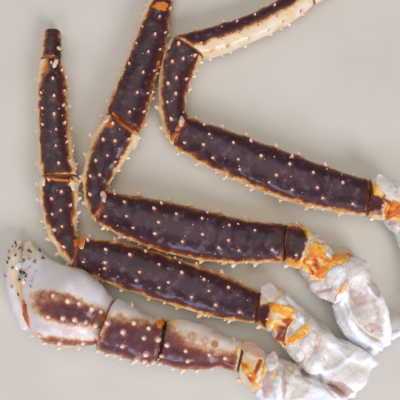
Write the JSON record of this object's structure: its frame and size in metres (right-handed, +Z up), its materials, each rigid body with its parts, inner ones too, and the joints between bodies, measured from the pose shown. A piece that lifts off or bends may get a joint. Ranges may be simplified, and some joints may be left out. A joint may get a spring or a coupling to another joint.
{
  "type": "king crab leg section",
  "caption": "Life-size section of a red king crab: a claw and walking legs with spiny, jointed shells, still joined at the shoulder, lying flat.",
  "frame": {"origin": "on the floor, under the middle of the outline's box", "axes": "+Z up from the surface that the section lies on, +X to the right and +Y up the picture as it is seen from above"},
  "size_m": [0.3515, 0.4302, 0.0413],
  "materials": {
    "dark_shell": "wet-looking purplish brown crab shell with cream spines and margins",
    "pale_shell": "cream shell of the claw with a brown patch",
    "orange_joint": "orange and yellow shell and joint skin",
    "shoulder_skin": "white translucent skin over the shoulder"
  },
  "bodies": {
    "root": {"leg1_shoulder": "shoulder_skin", "leg1_coxa": "shoulder_skin", "leg1_basis": "orange_joint", "leg1_ischium": "orange_joint", "leg1_merus": "dark_shell", "leg1_carpus": "dark_shell", "leg1_propodus": "dark_shell", "leg1_dactyl": "dark_shell", "leg2_shoulder": "shoulder_skin", "leg2_coxa": "shoulder_skin", "leg2_basis": "orange_joint", "leg2_ischium": "dark_shell", "leg2_merus": "dark_shell", "leg2_carpus": "dark_shell", "leg2_propodus": "dark_shell", "leg2_dactyl": "dark_shell", "leg3_shoulder": "shoulder_skin", "leg3_coxa": "shoulder_skin", "leg3_basis": "orange_joint", "leg3_ischium": "orange_joint", "leg3_merus": "dark_shell", "leg3_carpus": "dark_shell", "leg3_propodus": "dark_shell", "leg3_dactyl": "dark_shell", "claw_shoulder": "shoulder_skin", "claw_coxa": "shoulder_skin", "claw_ischium": "orange_joint", "claw_merus": "dark_shell", "claw_carpus": "pale_shell", "claw_palm": "pale_shell", "claw_finger": "pale_shell"}
  },
  "joints": []
}
